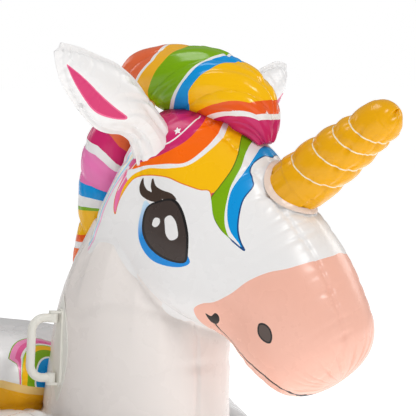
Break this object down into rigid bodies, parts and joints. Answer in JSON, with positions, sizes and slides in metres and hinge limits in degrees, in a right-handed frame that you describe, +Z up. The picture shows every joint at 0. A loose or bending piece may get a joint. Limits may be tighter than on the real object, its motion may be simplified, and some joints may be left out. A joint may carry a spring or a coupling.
{
  "type": "inflatable pool float",
  "caption": "Inflatable ride-on pool float shaped as a unicorn, with a lobed hull, saddle seat, backrest, grab handles and pinch air valves.",
  "frame": {"origin": "on the ground, under the middle of the overall length and width", "axes": "+Z up, the head faces -Y, the left side is +X"},
  "size_m": [1.3997, 1.9801, 0.9714],
  "materials": {
    "baffle_vinyl": "gloss",
    "clear_soft_vinyl": "satin",
    "ear_vinyl": "gloss",
    "forelock_print": "gloss",
    "gold_vinyl": "gloss",
    "head_print": "gloss",
    "hull_print": "gloss",
    "ivory_soft_vinyl": "satin",
    "mane_print": "gloss",
    "seat_print": "gloss",
    "tail_print": "gloss",
    "white_vinyl": "gloss"
  },
  "bodies": {
    "float": {"backrest_bottom_panel": "white_vinyl", "backrest_top_panel": "white_vinyl", "forelock_left_panel": "forelock_print", "forelock_right_panel": "forelock_print", "head_gusset": "head_print", "head_left_panel": "head_print", "head_right_panel": "head_print", "horn_collar": "white_vinyl", "horn_shell": "gold_vinyl", "hull_baffles": "baffle_vinyl", "hull_bottom_panel": "hull_print", "hull_top_panel": "hull_print", "hull_valve_base": "clear_soft_vinyl", "left_ear_back_panel": "ear_vinyl", "left_ear_front_panel": "ear_vinyl", "left_handle_patch": "ivory_soft_vinyl", "left_handle_plate": "ivory_soft_vinyl", "mane_left_panel": "mane_print", "mane_right_panel": "mane_print", "neck_back_gusset": "white_vinyl", "neck_front_gusset": "white_vinyl", "neck_left_panel": "white_vinyl", "neck_right_panel": "white_vinyl", "neck_valve_base": "clear_soft_vinyl", "right_ear_back_panel": "ear_vinyl", "right_ear_front_panel": "ear_vinyl", "right_handle_patch": "ivory_soft_vinyl", "right_handle_plate": "ivory_soft_vinyl", "seat_bottom_panel": "seat_print", "seat_top_panel": "seat_print", "tail_left_panel": "tail_print", "tail_right_panel": "tail_print"},
    "right_grip": {"right_handle_grip": "ivory_soft_vinyl"},
    "left_grip": {"left_handle_grip": "ivory_soft_vinyl"},
    "hull_stem": {"hull_valve_stem": "clear_soft_vinyl"},
    "hull_plug": {"hull_valve_plug": "clear_soft_vinyl"},
    "hull_flap": {"hull_valve_flap": "clear_soft_vinyl"},
    "neck_stem": {"neck_valve_stem": "clear_soft_vinyl"},
    "neck_plug": {"neck_valve_plug": "clear_soft_vinyl"},
    "neck_flap": {"neck_valve_flap": "clear_soft_vinyl"}
  },
  "joints": [
    {"name": "right_grip_flex", "type": "hinge", "parent": "float", "child": "right_grip", "pos_m": [-0.14184, -0.31033, 0.38146], "axis": [0.086, -0.0005, 0.9963], "range_deg": [-45, 45], "stiffness_Nm_per_rad": 0.4},
    {"name": "left_grip_flex", "type": "hinge", "parent": "float", "child": "left_grip", "pos_m": [0.14184, -0.31033, 0.38146], "axis": [-0.086, -0.0005, 0.9963], "range_deg": [-45, 45], "stiffness_Nm_per_rad": 0.4},
    {"name": "hull_stem_pull", "type": "slide", "parent": "float", "child": "hull_stem", "axis": [0, 0, 1], "range_m": [0, 0.014]},
    {"name": "hull_plug_open", "type": "hinge", "parent": "hull_stem", "child": "hull_plug", "pos_m": [-0.33, 0.4856, 0.2566], "axis": [1, 0, 0], "range_deg": [0, 115]},
    {"name": "hull_flap_open", "type": "hinge", "parent": "hull_stem", "child": "hull_flap", "pos_m": [-0.33, 0.5106, 0.2291], "axis": [1, 0, 0], "range_deg": [0, 50], "stiffness_Nm_per_rad": 0.002},
    {"name": "neck_stem_pull", "type": "slide", "parent": "float", "child": "neck_stem", "axis": [0, 0.9629, 0.27], "range_m": [0, 0.014]},
    {"name": "neck_plug_open", "type": "hinge", "parent": "neck_stem", "child": "neck_plug", "pos_m": [0, -0.24566, 0.45511], "axis": [1, 0, 0], "range_deg": [0, 115]},
    {"name": "neck_flap_open", "type": "hinge", "parent": "neck_stem", "child": "neck_flap", "pos_m": [0, -0.26539, 0.42361], "axis": [1, 0, 0], "range_deg": [0, 50], "stiffness_Nm_per_rad": 0.002}
  ]
}
